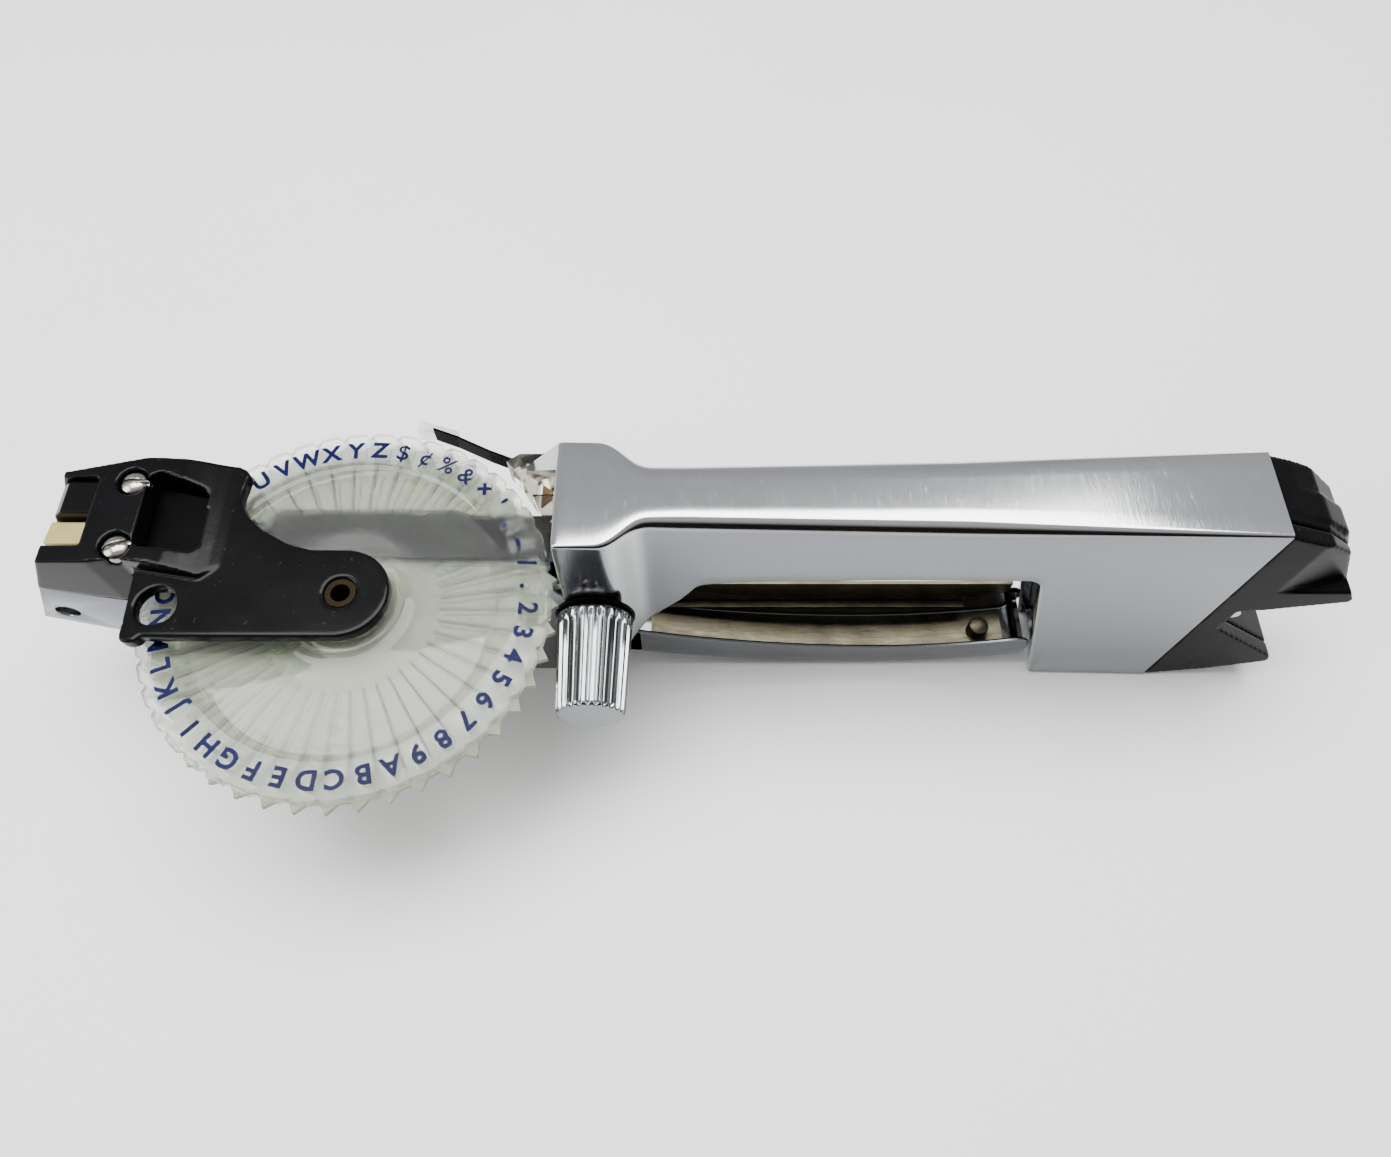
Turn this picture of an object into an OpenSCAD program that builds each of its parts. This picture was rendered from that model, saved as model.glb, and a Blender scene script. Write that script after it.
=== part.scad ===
// Hand-held embossing label maker with a character wheel, squeeze trigger and rear tape magazine.
// X runs from nose to magazine, Y across the tool, Z up. The origin is the middle of the heel's
// flat underside. Modules draw in tool stations: x from the wheel axis, z from the floor.

/* [Housing] */
// Height of the handle's top face above the floor
housing_top = 67.5; // [66:0.5:70]
// Width of the wide block at the front of the housing
block_w = 24; // [24:0.5:26]
// Sheet thickness of the housing
wall = 1.6; // [1.4:0.1:1.7]
// Distance from the wheel axis to the middle of the heel
heel_x = 163; // [162:1:164]

/* [Character wheel] */
// Number of characters on the wheel
letters = 44; // [40:1:44]
// Radius of the clear upper disc
disc_r = 40.3; // [39.5:0.1:40.3]
// Radius over the ratchet teeth of the lower disc
tooth_r = 41.1; // [40.8:0.1:41.4]
// Offset of the wheel axis from the tool's centre plane
wheel_y = -15.3; // [-15.5:0.1:-15.1]

/* [Tape path] */
// Width of the embossing tape
tape_w = 9; // [6:0.5:9]
// Thickness of the embossing tape
tape_t = 0.3; // [0.2:0.05:0.3]
// Outer radius of the tape roll
roll_r = 17.5; // [12:0.5:17.5]

/* [Feed knob] */
// Radius of the knob where it meets its collar
knob_base_r = 7.9; // [7.4:0.1:8]
// Radius of the knob at its free end
knob_tip_r = 6.9; // [6.5:0.1:7]
// Number of flutes round the knob
flutes = 26; // [18:1:30]

/* [Trigger] */
// Half of the trigger channel's outer width
trigger_half = 7; // [6.5:0.1:7]
// Sheet thickness of the trigger channel
trigger_t = 1.2; // [1:0.1:1.4]

/* [Hidden] */
$fn = 72;

eps = 0.01;
fit = 0.02;
run_fit = 0.05;
gap = 0.35;

half_block = block_w / 2;
block_x = 41.7;
rear_x = 180;
bay_wall = 1.2;
skin_top = housing_top - wall;

// Levels of the wheel stack
lower_z = 46.3;
lower_t = 1.6;
upper_z = 50.3;
upper_t = 1.5;
disc_top = upper_z + upper_t;
wheel_clear = tooth_r + 0.6;
pitch = 360 / letters;
axle_r = 3;
letter_r = 36;

// Tape levels
tape_z = 48.35;
guide_z = 48.9;
guide_t = 0.4;
punch_x = -32.6;

// Feed shaft, rollers and pins
knob_x = 47.8;
knob_z = 39.4;
shaft_r = 2.5;
bush_r = 4;
roller_r = tape_z - tape_t / 2 - 0.3 - knob_z;
roller_half = 4.8;
pinch_roller_r = 4;
pinch_z = tape_z + tape_t / 2 + 0.35 + pinch_roller_r;
pinch_r = 1.5;
fix_spot = [44.5, 28];
knob_root_y = -13.05;
knob_tip_y = -34.7;

pivot = [46.5, 16];
pivot_r = 2;
lever_pivot = [2, 18];
lever_pin_r = 1.5;

reel = [165, 44.7];
reel_r = 3;
cover_y = -5.5;

arm_top = 56;
arm_low = 53.2;
head_top = 59.5;
screw_spots = [[-44.3, 7.8], [-44.1, -6.9]];

CHROME = [0.78, 0.79, 0.8];
STEEL = [0.6, 0.61, 0.62];
BLACK = [0.1, 0.1, 0.11];
BRASS = [0.72, 0.6, 0.36];
CREAM = [0.84, 0.79, 0.6];
PALE = [0.8, 0.83, 0.77];
CLEAR = [0.85, 0.9, 0.9, 0.4];
SMOKE = [0.4, 0.4, 0.38, 0.5];

// Half width of the housing in plan: stations of [x, half width]
PLAN = [[block_x, half_block], [50, half_block], [52.6, 11], [54.8, 9.4], [57, 8.1], [60, 7.4],
    [64, 7.2], [73, 7.25], [110, 7.8], [141, 8.6], [160, 9.1], [rear_x + 1, 9.8]];

// Front edge of the tape bay's side panels at height z
function panel_x(z) = 150.1 - 0.234 * z;

// Trigger bow: height of its lower and upper edges at station x
function bow_low(x) = 0.6 + (x < 108 ? 7.2 * pow((x - 108) / 54.5, 2) : 5 * pow((x - 108) / 39, 2));
function bow_high(x) = 10.2 + (x < 112 ? 9 * pow((x - 112) / 57, 2) : 5.2 * pow((x - 112) / 34, 2));

function reverse(list) = [for (i = [len(list) - 1 : -1 : 0]) list[i]];
function polar(r, a) = [r * cos(a), r * sin(a)];

// Moves geometry drawn in tool stations so that the heel's middle is the origin
module tool() {
    translate([-heel_x, 0, 0]) children();
}

// Moves geometry drawn about the wheel axis to its place
module at_wheel(z) {
    tool() translate([0, wheel_y, z]) children();
}

// Prism of an XZ outline between two Y planes
module slab(points, y0, y1) {
    translate([0, y1, 0]) rotate([90, 0, 0]) linear_extrude(y1 - y0) polygon(points);
}

// Round bar along Y
module bar(spot, r, y0, y1) {
    translate([spot[0], y1, spot[1]]) rotate([90, 0, 0]) cylinder(h = y1 - y0, r = r);
}

// Block given by its low and high corners
module block(low, high) {
    translate(low) cube(high - low);
}

// Thin wall of thickness t that follows an open line in plan
module strip(points, t, z0, z1) {
    translate([0, 0, z0]) linear_extrude(z1 - z0)
        polygon(concat(points, reverse([for (p = points) p + [0, t]])));
}

module housing_plan(inset) {
    polygon(concat([for (s = PLAN) [s[0], s[1] - inset]],
        reverse([for (s = PLAN) [s[0], inset - s[1]]])));
}

module body_housing() {
    side = [[block_x, housing_top], [rear_x, housing_top], [rear_x - 2, 0], [panel_x(0), 0],
        [panel_x(42), 42], [139.2, 44.4], [137.6, 46.2], [135, 47.2], [110, 46.6], [79, 44.7],
        [72.3, 43.4], [69.8, 42.4], [68.2, 40.4], [65.6, 35.8], [60, 28.3], [54.7, 21.4],
        [51, 10], [block_x, 8]];
    inside = [[44.4, -1], [44.4, skin_top], [rear_x + 2, skin_top], [rear_x + 2, bay_wall],
        [panel_x(0) + 4, bay_wall], [panel_x(0) + 4, -1]];
    bay_front = [[panel_x(0) + 3, 0], [panel_x(0) + 4.2, 0], [panel_x(46) + 4.2, 46],
        [panel_x(46) + 3, 46]];
    gusset = [[block_x + eps, housing_top], [33.6, 57.2], [block_x + eps, 57.2]];
    color(CHROME) tool() difference() {
        union() {
            difference() {
                intersection() {
                    linear_extrude(housing_top) housing_plan(0);
                    slab(side, -14, 14);
                }
                intersection() {
                    translate([0, 0, -1]) linear_extrude(housing_top + 2) housing_plan(bay_wall);
                    slab(inside, -14, 14);
                }
                block([block_x - 1, -6.6, -1], [45, 6.6, 57]);
                block([block_x - 1, -8.5, -1], [45, 8.5, 44]);
            }
            intersection() {
                linear_extrude(housing_top) housing_plan(bay_wall / 2);
                slab(bay_front, -14, 14);
            }
            intersection() {
                slab(gusset, -14, 14);
                linear_extrude(housing_top) polygon([[42, 12], [42, 5.4], [33.4, 12]]);
            }
        }
        translate([0, wheel_y, lower_z - 0.7]) cylinder(h = arm_low - lower_z + 1, r = wheel_clear);
        bar([knob_x, knob_z], bush_r + fit, -14, 14);
        bar([knob_x, pinch_z], pinch_r + fit, -14, 14);
        bar(pivot, pivot_r + fit, -14, 14);
        bar(fix_spot, 1.3, -14, 14);
        bar([157.1, 3.3], 0.9 + fit, -14, 14);
    }
}

module channel_floor() {
    color(STEEL) tool() intersection() {
        translate([0, 0, 48.4]) linear_extrude(0.8) housing_plan(bay_wall + 0.05);
        block([58, -14, 48], [138, 14, 50]);
    }
}

module front_chassis() {
    pan = [[-64.1, 47.9], [-70.3, 35.1], [-57.2, 27.7], [-8, 0], [38.5, 0], [38.5, 24],
        [49.8, 24], [49.8, 42.6], [-48.9, 42.6]];
    hollow = [[-40, 40.8], [-40, 20.4], [-7.4, 2], [39, 2], [39, 24.5], [36, 24.5],
        [36, 40.8]];
    plan = [[-71, 10.5], [-44, 10.5], [-34, 8], [44.8, 8], [44.8, 10.4], [52, 10.4]];
    color(CHROME) tool() difference() {
        union() {
            intersection() {
                linear_extrude(housing_top)
                    polygon(concat(plan, reverse([for (p = plan) [p[0], -p[1]]])));
                slab(pan, -11, 11);
            }
            translate([0, wheel_y, 41]) cylinder(h = 3.8, r = 6.5);
            block([-6.5, wheel_y, 41], [6.5, -7, 42.6]);
        }
        slab(hollow, -6.2, 6.2);
        translate([punch_x, 0, 30]) cylinder(h = 20, r = 2.5 + run_fit);
        bar(lever_pivot, lever_pin_r + fit, -11, 11);
        translate([0, wheel_y, 30]) cylinder(h = 20, r = axle_r + fit);
        for (spot = screw_spots) translate([spot[0], spot[1], 34]) cylinder(h = 20, r = 1.3);
        bar(fix_spot, 1.3, -11, 11);
        bar([knob_x, knob_z], 3, -11, 11);
        block([38.4, -6.2, 23], [52, 6.2, 43]);
        bar([-64.2, 37.2], 2.4, -11, -6.5);
    }
}

module head_yoke() {
    arm = concat([[-24, 13.6], [-42, 13.6], [-41, -11], [-40.2, -21.6], [-38.9, -24.2],
        [-36, -24.7], [-12, -24.7]],
        [for (a = [-90 : 15 : 90]) [0, wheel_y] + polar(9.4, a)],
        [[-7.1, -5.8], [-11.7, -4.7], [-18.2, -1], [-21.4, 2], [-23.6, 6], [-22.9, 11.9]]);
    nose_plan = [[-65, 10.3], [-58, 10.3], [-42.4, 13.8], [-25, 13.6], [-22.9, 11.9],
        [-23.6, 6], [-24, -9], [-28, -12.2], [-43, -9.8], [-49, -10.6], [-65, -10.6]];
    nose_side = [[-64.2, 48.2], [-58.4, head_top], [-39, head_top], [-32, 58.5], [-27, 56.6],
        [-24, 55.9], [-22, 55.9], [-22, 46], [-49, 42.9]];
    pocket = [[-41.2, 9.2], [-39, 10.2], [-30.4, 7.2], [-29.4, 5.8], [-29, -5.6], [-30.4, -7],
        [-39.8, -7], [-41, -5.8]];
    color(BLACK) tool() difference() {
        union() {
            translate([0, 0, arm_low]) linear_extrude(arm_top - arm_low) polygon(arm);
            intersection() {
                linear_extrude(housing_top) polygon(nose_plan);
                slab(nose_side, -12, 14);
            }
            block([-40.2, -25.6, 52.2], [-36.4, -21, arm_top]);
        }
        translate([0, wheel_y, lower_z - 1]) cylinder(h = arm_low - lower_z + 1, r = wheel_clear);
        translate([0, 0, 52]) linear_extrude(20) polygon(pocket);
        translate([-34.9, -18.2, 50]) cylinder(h = 10, r = 4);
        translate([0, wheel_y, 50]) cylinder(h = 10, r = 3.2);
        for (spot = screw_spots) translate([spot[0], spot[1], 40]) {
            cylinder(h = 25, r = 1.35);
            translate([0, 0, 17.2]) cylinder(h = 10, r = 3.1);
        }
        block([-70, -5.2, 47.3], [-34, 5.2, 49.7]);
        translate([punch_x, 0, 40]) cylinder(h = 8, r = 2.85);
        block([-70, -4.6, 49.1], [-51.8, 0.9, 62]);
        block([-70, -6.8, 52], [-51.8, 0.9, 62]);
        block([-70, 0.8, 46], [-50.2, 8.9, 62]);
        block([-51.6, -5.8, 42], [-50.2, 8.9, 56.4]);
    }
}

module slotted_screw(length) {
    difference() {
        union() {
            cylinder(h = 1.5, r = 2.85);
            translate([0, 0, 1.5]) cylinder(h = 0.5, r1 = 2.85, r2 = 2);
            translate([0, 0, -length]) cylinder(h = length, r = 1.25);
        }
        translate([-3, -0.35, 1.1]) cube([6, 0.7, 2]);
    }
}

module head_screws() {
    turns = [5, 25];
    color(STEEL) tool() for (i = [0 : 1])
        translate([screw_spots[i][0], screw_spots[i][1], 57.2]) rotate([0, 0, turns[i]])
            slotted_screw(22);
}

module chassis_screws() {
    color(STEEL) tool() for (side = [-1, 1])
        translate([fix_spot[0], side * half_block, fix_spot[1]]) rotate([-90 * side, 0, 0]) slotted_screw(5.5);
}

module nose_screw() {
    color(STEEL) tool() difference() {
        bar([-64.2, 37.2], 2.38, -9, -6.5);
        translate([-64.2, -9.5, 37.2]) rotate([-90, 0, 0]) cylinder(h = 1.8, r = 1.2, $fn = 6);
    }
}

module anvil_block() {
    foot = [[-40.8, 9], [-30.6, 6.8], [-29.6, 5.7], [-29.2, -5.5], [-30.5, -6.8],
        [-39.7, -6.8], [-40.8, -5.7]];
    color(BLACK) tool() difference() {
        translate([0, 0, disc_top + gap]) linear_extrude(2.4) polygon(foot);
        translate([punch_x, 0, 51]) cylinder(h = 2.4, r = 1.6);
    }
}

module exit_pad() {
    color(CREAM) tool() difference() {
        block([-62.6, -4.4, 49.2], [-52, 0.7, 55.7]);
        slab([[-63, 55.8], [-63, 54.7], [-61.8, 55.8]], -5, 5);
    }
}

module wheel_axle() {
    color(BRASS) tool() difference() {
        translate([0, wheel_y, 39]) cylinder(h = 16.6, r = axle_r);
        translate([0, wheel_y, 38]) cylinder(h = 20, r = 1.9);
    }
}

module axle_clip() {
    color(STEEL) tool() difference() {
        translate([0, wheel_y, 40.1]) cylinder(h = 0.8, r = 4.8);
        translate([0, wheel_y, 39]) cylinder(h = 3, r = axle_r + fit);
        block([-1.2, wheel_y - 6, 39], [1.2, wheel_y, 42]);
    }
}

module tape_guide() {
    band = [[38.6, -4.4], [-27, -4.4], [-27, 3], [-21.6, 3], [-17.6, 7.2], [18.4, 7.2],
        [22.2, 5.9], [44, 5.9], [44, 4.8], [38.6, 4.8]];
    color(STEEL) tool() translate([0, 0, guide_z]) linear_extrude(guide_t) polygon(band);
}

module tape_nozzle() {
    rim = [for (a = [15 : 7 : 43]) [0, wheel_y] + polar(41.4, a)];
    color(SMOKE) tool() difference() {
        translate([0, 0, 52.7]) linear_extrude(6.3)
            polygon(concat([[block_x - 0.1, -4.6]], rim, [[32.8, 14.8], [block_x - 0.1, 14.8]]));
        block([36.6, -3.6, 52], [block_x - 1, 13.6, 58]);
        slab([[33, 57.2], [42, 68], [42, 57.2]], 5, 12.3);
    }
}

module tape_leaf() {
    color(BRASS) tool() slab([[37.4, 53.3], [39.9, 56.5], [39.7, 56.8], [37.1, 53.6]], 5, 13);
}

module detent_spring() {
    line = [[11, 28.4], [16.5, 26.2], [24, 22.4], [33, 18.6], [39, 16.2], [42.4, 12.4], [50, 12.02]];
    color(BLACK) tool() strip(line, 0.6, 44.6, 48.6);
}

module detent_shoe() {
    color(CLEAR) tool() translate([0, 0, 45]) linear_extrude(4.2)
        polygon([[7.6, 28.2], [8.4, 30.4], [16.8, 27.5], [16.5, 26.9], [11, 29.1], [10.9, 28.2]]);
}

module tape_strip() {
    half = tape_t / 2;
    line = [[-49, tape_z], [49.5, tape_z], [142, 62.75], [reel[0], 62.75]];
    color("firebrick") tool() slab(concat([for (p = line) p + [0, half]],
        reverse([for (p = line) p - [0, half]])), -tape_w / 2, tape_w / 2);
}

module trigger_pin() {
    color(STEEL) tool() bar(pivot, pivot_r, -half_block - 0.4, half_block + 0.4);
}

module lever_pin() {
    color(STEEL) tool() bar(lever_pivot, lever_pin_r, -8.3, 8.3);
}

module pinch_pin() {
    color(STEEL) tool() bar([knob_x, pinch_z], pinch_r, -half_block - 0.3, half_block + 0.3);
}

module shaft_bushes() {
    color(BRASS) tool() for (side = [-1, 1]) difference() {
        bar([knob_x, knob_z], bush_r, side > 0 ? 10.45 : -half_block, side > 0 ? half_block : -10.45);
        bar([knob_x, knob_z], shaft_r + run_fit, -14, 14);
    }
}

module knob_collar() {
    color(BLACK) tool() difference() {
        bar([knob_x, knob_z], 8.3, -12.7, -half_block);
        bar([knob_x, knob_z], 3.2, -14, -11);
    }
}

module heel_rivets() {
    color(STEEL) tool() for (side = [-1, 1])
        bar([157.1, 3.3], 0.9, side > 0 ? 7.9 : -9.2, side > 0 ? 9.2 : -7.9);
}

module trigger_spring() {
    color(STEEL) tool() for (side = [-1, 1]) difference() {
        bar(pivot, 3.6, side > 0 ? 7.45 : -8.4, side > 0 ? 8.4 : -7.45);
        bar(pivot, 2.8, -11, 11);
    }
}

module cutter_spring() {
    color(STEEL) tool() translate([-54.6, 6.6, 46.4]) difference() {
        cylinder(h = 4.2, r = 1.7);
        translate([0, 0, -1]) cylinder(h = 9, r = 1.2);
    }
}

module upper_die_wheel() {
    color(CLEAR) at_wheel(upper_z) difference() {
        union() {
            cylinder(h = upper_t, r = disc_r);
            cylinder(h = upper_t + 0.9, r = 11.4);
        }
        translate([0, 0, upper_t]) cylinder(h = 2, r = 8.8);
        translate([0, 0, -1]) cylinder(h = 5, r = 5 + fit);
        for (i = [0 : letters - 1]) rotate([0, 0, (i + 0.5) * pitch])
            translate([disc_r + 0.2, 0, -1]) cylinder(h = 4, r = 0.9);
    }
}

module lower_die_wheel() {
    root_r = 39.1;
    color(PALE) at_wheel(lower_z) difference() {
        linear_extrude(lower_t) polygon([for (i = [0 : letters - 1])
            for (p = [[root_r, 0], [tooth_r, 0.22], [root_r, 0.62]]) polar(p[0], (i + p[1]) * pitch)]);
        translate([0, 0, lower_t - 0.4]) difference() {
            cylinder(h = 1, r = 50);
            translate([0, 0, -1]) cylinder(h = 3, r = 28.8);
        }
        translate([0, 0, -1]) cylinder(h = 5, r = 5 + fit);
        for (i = [0 : letters - 1]) rotate([0, 0, i * pitch])
            translate([17.5, -0.25, -1]) cube([18.1, 0.5, 4]);
    }
}

module wheel_hub() {
    color(PALE) at_wheel(45.2) difference() {
        union() {
            cylinder(h = 7.6, r = 5);
            translate([0, 0, lower_z + lower_t - 45.2]) cylinder(h = upper_z - lower_z - lower_t, r = 9.8);
        }
        translate([0, 0, -1]) cylinder(h = 10, r = axle_r + 0.06);
    }
}

module trigger_lever() {
    steps = [54 : 6 : 144];
    outer = concat([[41.4, 11.5], [41.4, 18], [44.5, 21.5], [49, 21.4]],
        [for (x = steps) [x, bow_high(x)]], [[146.4, bow_high(146.4)], [147.2, 11], [146.6, 6.3]],
        reverse([for (x = steps) [x, bow_low(x)]]), [[48, 9.6]]);
    trough = concat([[52, 40]], [[150, 40], [150, bow_low(147) + trigger_t]],
        reverse([for (x = steps) [x, bow_low(x) + trigger_t]]), [[52, 10]]);
    tab = [[46.5, 20.4], [34, 19.7], [34, 16.9], [37, 16.9], [46.5, 12]];
    inner_half = trigger_half - trigger_t;
    color(CHROME) tool() difference() {
        union() {
            difference() {
                slab(outer, -trigger_half, trigger_half);
                slab(trough, -inner_half, inner_half);
                block([40, -inner_half, 0], [54, inner_half, 30]);
            }
            bar(pivot, 4.6, -trigger_half, trigger_half);
            slab(tab, -3, 3);
            bar([34, 18.3], 1.4, -3, 3);
        }
        bar(pivot, pivot_r + run_fit, -10, 10);
    }
}

module trigger_stud() {
    color(STEEL) tool() translate([137.5, 0, bow_low(137.5) + trigger_t - 0.2]) {
        cylinder(h = 4.2, r = 2.4);
        translate([0, 0, 4.2]) cylinder(h = 0.5, r1 = 2.4, r2 = 1.8);
    }
}

module press_lever() {
    beam = [[2, 22.5], [28, 17.6], [31, 16.5], [36, 16.4], [36.4, 14], [35, 12.6], [2, 13.5],
        [-30, 21.5], [-35.6, 24], [-36, 25.8], [-35, 27], [-29, 26.8]];
    color(STEEL) tool() difference() {
        union() {
            slab(beam, -4, 4);
            bar([punch_x, 25.6], 2, -4, 4);
        }
        bar(lever_pivot, lever_pin_r + run_fit, -6, 6);
    }
}

module punch_hammer() {
    color(STEEL) tool() translate([punch_x, 0, 28]) {
        cylinder(h = 1.6, r = 3.6);
        cylinder(h = 15.6, r = 2.5);
        translate([0, 0, 15.6]) cylinder(h = 0.4, r1 = 2.5, r2 = 2.1);
    }
}

module feed_knob() {
    length = knob_root_y - knob_tip_y;
    lean = atan((knob_base_r - knob_tip_r) / length);
    color(CHROME) tool() translate([knob_x, knob_root_y, knob_z]) rotate([90, 0, 0]) difference() {
        union() {
            cylinder(h = length - 0.8, r1 = knob_base_r, r2 = knob_tip_r + 0.04);
            translate([0, 0, length - 0.8]) cylinder(h = 0.8, r1 = knob_tip_r + 0.04, r2 = knob_tip_r - 0.5);
        }
        for (i = [0 : flutes - 1]) rotate([0, 0, i * 360 / flutes])
            translate([knob_base_r + 0.1, 0, 1.2]) rotate([0, -lean, 0]) cylinder(h = length + 5, r = 0.62);
        translate([0, 0, -1]) cylinder(h = length - 3, r = shaft_r + fit);
    }
}

module feed_shaft() {
    color(STEEL) tool() bar([knob_x, knob_z], shaft_r, -30.6, 13.4);
}

module shaft_clip() {
    color(STEEL) tool() difference() {
        bar([knob_x, knob_z], 4.4, 12.35, 13.05);
        bar([knob_x, knob_z], shaft_r + fit, 10, 15);
        block([knob_x - 1, 11, knob_z - 6], [knob_x + 1, 15, knob_z]);
    }
}

module feed_roller() {
    color(BLACK) tool() difference() {
        bar([knob_x, knob_z], roller_r, -roller_half, roller_half);
        bar([knob_x, knob_z], shaft_r + fit, -6, 6);
    }
}

module pinch_roller() {
    color(BRASS) tool() difference() {
        bar([knob_x, pinch_z], pinch_roller_r, -roller_half, roller_half);
        bar([knob_x, pinch_z], pinch_r + run_fit, -6, 6);
    }
}

module cutter_button() {
    color(BLACK) tool() difference() {
        block([-61.8, 1.2, 51], [-51.2, 8.6, 58.3]);
        slab([[-62, 50.8], [-62, 58.5], [-57.6, 58.5], [-59.4, 56.8], [-61.7, 51]], 0, 9);
    }
}

module cutter_blade() {
    color(STEEL) tool() slab([[-51.2, 55.4], [-50.6, 55.4], [-50.6, 49.1], [-51.2, 49.7]], -5.3, 8.4);
}

// Outline of the magazine: the part inside the bay and the tail behind the housing
function case_inner() = [[144.9, 64.8], [panel_x(46) + 4.9, 46], [panel_x(2) + 4.9, 2], [181, 2], [183, 64.8]];
function case_tail() = [[178.5, 0.4], [192, 3.4], [205.2, 8.2], [203.8, 11.2], [184.5, 26.4],
    [185, 35.2], [189.8, 35.5], [206.2, 39.6], [206.3, 41], [197, 58.8], [191, 63],
    [180.4, 66.4]];

module case_solid(y0, y1) {
    slab(case_inner(), max(y0, -7), min(y1, 7));
    slab(case_tail(), y0, y1);
}

module magazine_case() {
    color(BLACK) tool() difference() {
        case_solid(cover_y, 9.5);
        bar(reel, roll_r + 0.7, cover_y - eps, 5.4);
        block([143, cover_y - 1, 61.6], [reel[0], 5.4, 63.6]);
        bar(reel, reel_r + fit, 0, 6.4);
    }
}

module magazine_cover() {
    color(BLACK) tool() difference() {
        case_solid(-9.5, cover_y);
        bar([171, 12], 1.3, -8, 0);
        bar([171, 12], 2.3, -8, -6.1);
    }
}

module magazine_screw() {
    color(STEEL) tool() {
        bar([171, 12], 1.25, -7, cover_y);
        bar([171, 12], 2.2, -6.95, -6.12);
    }
}

module notch_pin() {
    color(STEEL) tool() bar([186.3, 31], 1.4, -8.2, 8.2);
}

module reel_axle() {
    color(STEEL) tool() bar(reel, reel_r, cover_y, 6.4);
}

module reel_hub() {
    color(PALE) tool() difference() {
        bar(reel, 7.5, -4.9, 4.9);
        bar(reel, reel_r + run_fit, -6, 6);
        for (a = [0 : 60 : 300]) bar(reel + polar(5.2, a), 1, -6, 6);
    }
}

module tape_roll() {
    color("firebrick") tool() difference() {
        bar(reel, roll_r, -tape_w / 2, tape_w / 2);
        bar(reel, 7.5 + fit, -6, 6);
    }
}

body_housing();
channel_floor();
front_chassis();
head_yoke();
head_screws();
chassis_screws();
nose_screw();
anvil_block();
exit_pad();
wheel_axle();
axle_clip();
tape_guide();
tape_nozzle();
tape_leaf();
detent_spring();
detent_shoe();
tape_strip();
trigger_pin();
lever_pin();
pinch_pin();
shaft_bushes();
knob_collar();
heel_rivets();
trigger_spring();
cutter_spring();
upper_die_wheel();
lower_die_wheel();
wheel_hub();
trigger_lever();
trigger_stud();
press_lever();
punch_hammer();
feed_knob();
feed_shaft();
shaft_clip();
feed_roller();
pinch_roller();
cutter_button();
cutter_blade();
magazine_case();
magazine_cover();
magazine_screw();
notch_pin();
reel_axle();
reel_hub();
tape_roll();
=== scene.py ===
"""Looks for the hand-held embossing label maker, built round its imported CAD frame.

Pieces are drawn in millimetres in tool stations: x from the wheel's axis, y from the tool's centre
plane, z from the floor. place() turns them into the frame's metres.
"""
import math
import bmesh
import bpy
import numpy as np
from mathutils import Matrix, Vector


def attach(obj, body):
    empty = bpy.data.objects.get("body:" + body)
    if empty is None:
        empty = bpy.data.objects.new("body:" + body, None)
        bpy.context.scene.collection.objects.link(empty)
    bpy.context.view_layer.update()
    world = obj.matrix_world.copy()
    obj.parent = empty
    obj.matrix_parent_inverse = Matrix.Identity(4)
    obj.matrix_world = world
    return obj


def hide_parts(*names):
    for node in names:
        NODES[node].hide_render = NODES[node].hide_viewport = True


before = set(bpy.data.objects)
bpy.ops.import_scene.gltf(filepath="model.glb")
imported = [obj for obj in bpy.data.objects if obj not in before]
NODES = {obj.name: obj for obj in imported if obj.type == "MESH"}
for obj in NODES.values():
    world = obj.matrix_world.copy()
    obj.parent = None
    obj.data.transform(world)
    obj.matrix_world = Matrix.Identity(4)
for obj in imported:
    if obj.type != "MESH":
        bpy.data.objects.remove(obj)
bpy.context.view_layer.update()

MM = 0.001
HEEL_X = 163.0                    # station of the frame's origin
WHEEL_Y = -15.3
HUB = (0.0, WHEEL_Y)              # character wheel's axis, in plan
SHAFT = (47.8, 39.4)              # feed shaft's axis, in XZ
WHEEL_ROOM_R = 43.3               # room cut for the wheel in the housing and the head
HEAD_SCREWS = (((-44.3, 7.8), 4), ((-44.1, -6.9), 24))  # spot in plan, turn of its slot in degrees


# ---------------------------------------------------------------- geometry helpers
def place(point):
    return Vector(((point[0] - HEEL_X) * MM, point[1] * MM, point[2] * MM))


def polar(radius, degrees, centre=(0.0, 0.0)):
    a = math.radians(degrees)
    return (centre[0] + radius * math.cos(a), centre[1] + radius * math.sin(a))


def ease(t):
    t = min(max(t, 0.0), 1.0)
    return t * t * t * (t * (6 * t - 15) + 10)


def lerp_table(table, x):
    xs = [row[0] for row in table]
    ys = [row[1] for row in table]
    return float(np.interp(x, xs, ys))


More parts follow.
